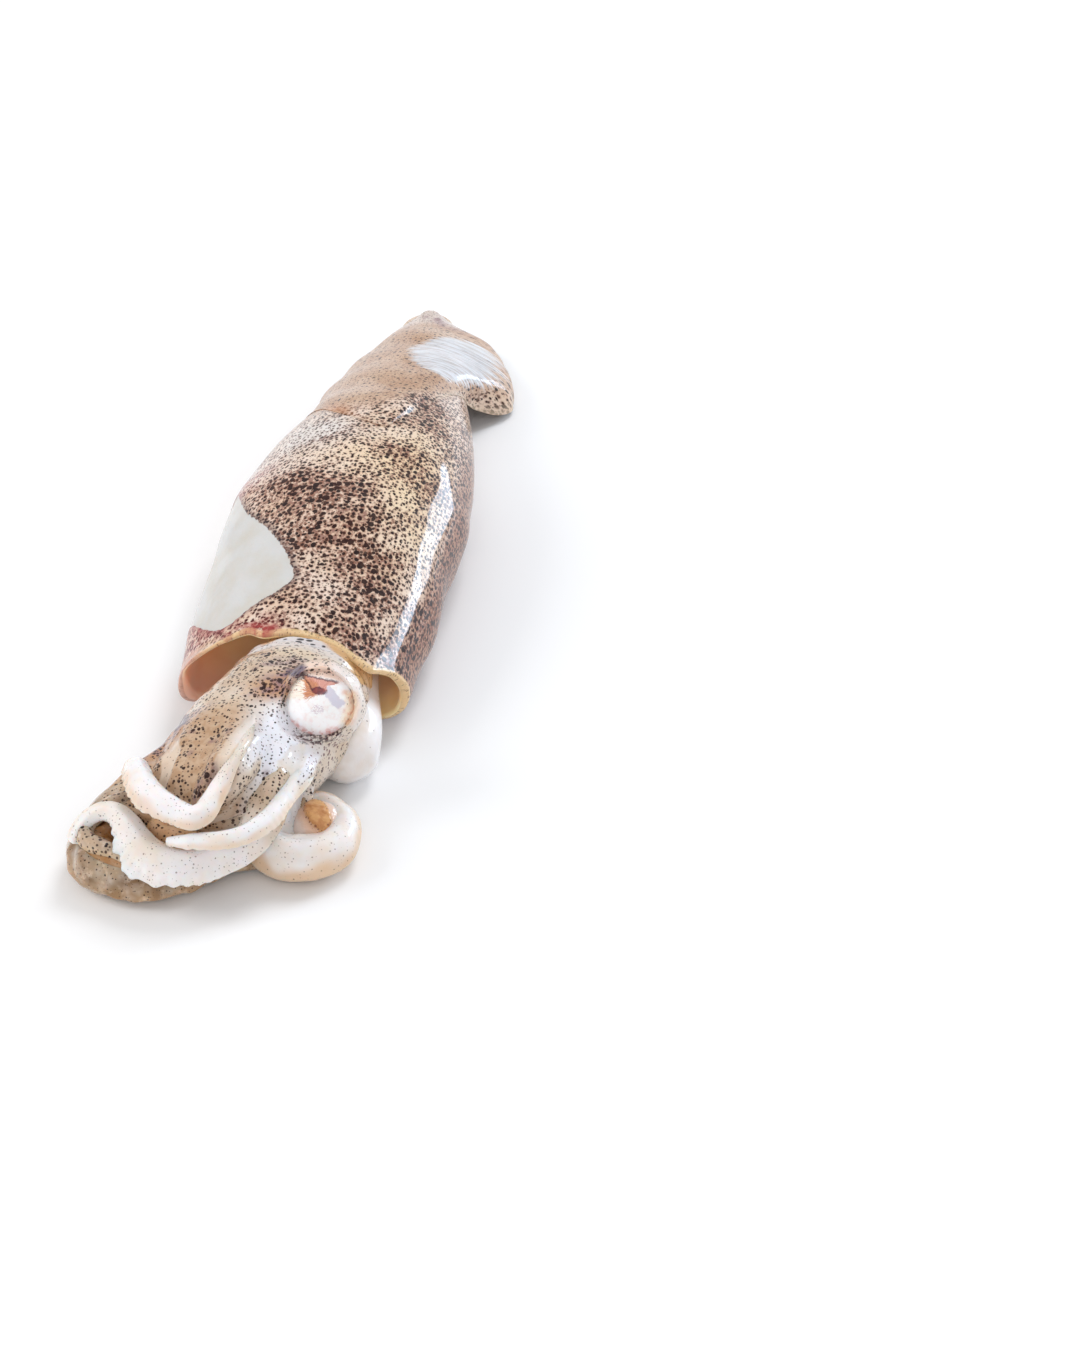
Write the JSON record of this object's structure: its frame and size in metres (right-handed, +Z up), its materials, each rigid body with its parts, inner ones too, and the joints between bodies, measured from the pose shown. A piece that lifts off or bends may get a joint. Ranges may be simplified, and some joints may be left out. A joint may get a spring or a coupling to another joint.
{
  "type": "whole raw squid",
  "caption": "Whole raw squid lying belly down: tubular mantle with two fins, head with eyes, and curled arms and tentacles in front.",
  "frame": {"origin": "on the table, under the middle of the mantle's belly", "axes": "+Y from the head towards the tail, +Z up out of the table, +X to the right seen from the head"},
  "size_m": [0.0596, 0.2617, 0.0316],
  "materials": {
    "mantle_skin": "wet skin, cream with dark brown pigment dots",
    "arm_flesh": "wet, pale and slightly see-through flesh",
    "funnel_flesh": "wet white flesh",
    "eye": "wet, pearly"
  },
  "bodies": {
    "root": {"mantle": "mantle_skin", "head_and_arms": "arm_flesh", "funnel": "funnel_flesh", "eye_left": "eye", "eye_right": "eye"}
  },
  "joints": []
}
